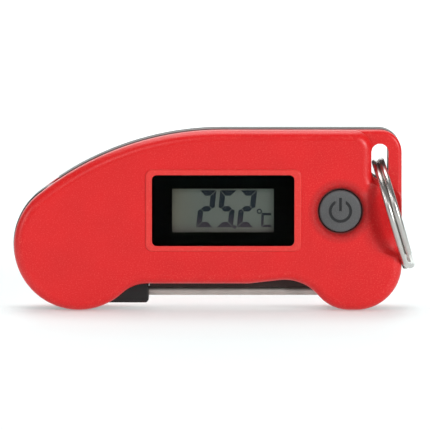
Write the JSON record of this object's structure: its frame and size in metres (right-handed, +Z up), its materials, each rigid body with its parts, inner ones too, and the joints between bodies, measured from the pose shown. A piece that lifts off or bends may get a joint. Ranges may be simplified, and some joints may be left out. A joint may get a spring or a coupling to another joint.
{
  "type": "folding probe thermometer",
  "caption": "Pocket meat thermometer with a folding stainless probe, small digital display, rubber power button, twist-off battery cap and a split ring in its lanyard tab.",
  "frame": {"origin": "middle of the footprint, on the surface that the thermometer stands on", "axes": "+X from the hinge lobe to the lanyard tab, -Y out of the display, +Z up"},
  "size_m": [0.1212, 0.0348, 0.0548],
  "materials": {
    "red_plastic": "fine-grained moulded red plastic",
    "grey_band": "smooth grey plastic with a soft sealing lip",
    "clear_pane": "clear acrylic",
    "black_mask": "black print on the back of the pane",
    "lcd": "grey-green liquid crystal cell",
    "black_plastic": "black moulded plastic",
    "zebra_rubber": "layered contact rubber",
    "white_plastic": "white moulded plastic",
    "board": "green solder mask",
    "chip": "black epoxy package",
    "tin_steel": "plain steel",
    "capacitor": "tan ceramic",
    "button_rubber": "dark grey silicone rubber",
    "cell_steel": "nickel-plated steel",
    "spring_contact": "plated spring strip",
    "red_cap": "fine-grained moulded red plastic",
    "seal_rubber": "black nitrile rubber",
    "boot_plastic": "black moulded plastic",
    "probe_steel": "brushed stainless steel",
    "bead": "epoxy bead",
    "lead_copper": "thin insulated copper leads",
    "washer_plastic": "low-friction acetal",
    "screw_steel": "zinc-plated steel",
    "label_plate": "blank satin aluminium plate",
    "ring_steel": "nickel-plated spring steel"
  },
  "bodies": {
    "case": {"front_shell": "red_plastic", "rear_shell": "red_plastic", "mid_frame": "grey_band", "display_window": "clear_pane", "window_mask": "black_mask", "lcd_glass": "lcd", "lcd_frame": "black_plastic", "lcd_connectors": "zebra_rubber", "lcd_backlight": "white_plastic", "main_board": "board", "microcontroller": "chip", "probe_converter": "chip", "clock_crystal": "tin_steel", "chip_capacitors": "capacitor", "tact_switch": "black_plastic", "coin_cell": "cell_steel", "battery_holder": "black_plastic", "battery_contact_plus": "spring_contact", "battery_contact_minus": "spring_contact", "hinge_pin": "tin_steel", "friction_washers": "washer_plastic", "hub_seals": "seal_rubber", "case_screws": "screw_steel", "board_screws": "screw_steel", "rear_label": "label_plate"},
    "probe": {"probe_hub": "boot_plastic", "probe_hub_cover": "boot_plastic", "probe_shaft": "probe_steel", "thermistor_bead": "bead", "sensor_leads": "lead_copper"},
    "button": {"power_button": "button_rubber", "switch_plunger": "white_plastic"},
    "cap": {"battery_cap": "red_cap", "battery_cap_seal": "seal_rubber"},
    "ring": {"split_ring": "ring_steel"}
  },
  "joints": [
    {"name": "probe_fold", "type": "hinge", "parent": "case", "child": "probe", "pos_m": [-0.04076, 0, 0.0198], "axis": [0, 1, 0], "range_deg": [0, 180]},
    {"name": "button_press", "type": "slide", "parent": "case", "child": "button", "axis": [0, 1, 0], "range_m": [0, 0.0005], "stiffness_N_per_m": 4000},
    {"name": "battery_cap_twist", "type": "hinge", "parent": "case", "child": "cap", "pos_m": [0.00619, 0.0085, 0.0303], "axis": [0, 1, 0], "range_deg": [0, 30]},
    {"name": "ring_swing", "type": "hinge", "parent": "case", "child": "ring", "pos_m": [0.04954, 0, 0.04442], "axis": [0, -1, 0], "range_deg": [0, 100]}
  ]
}
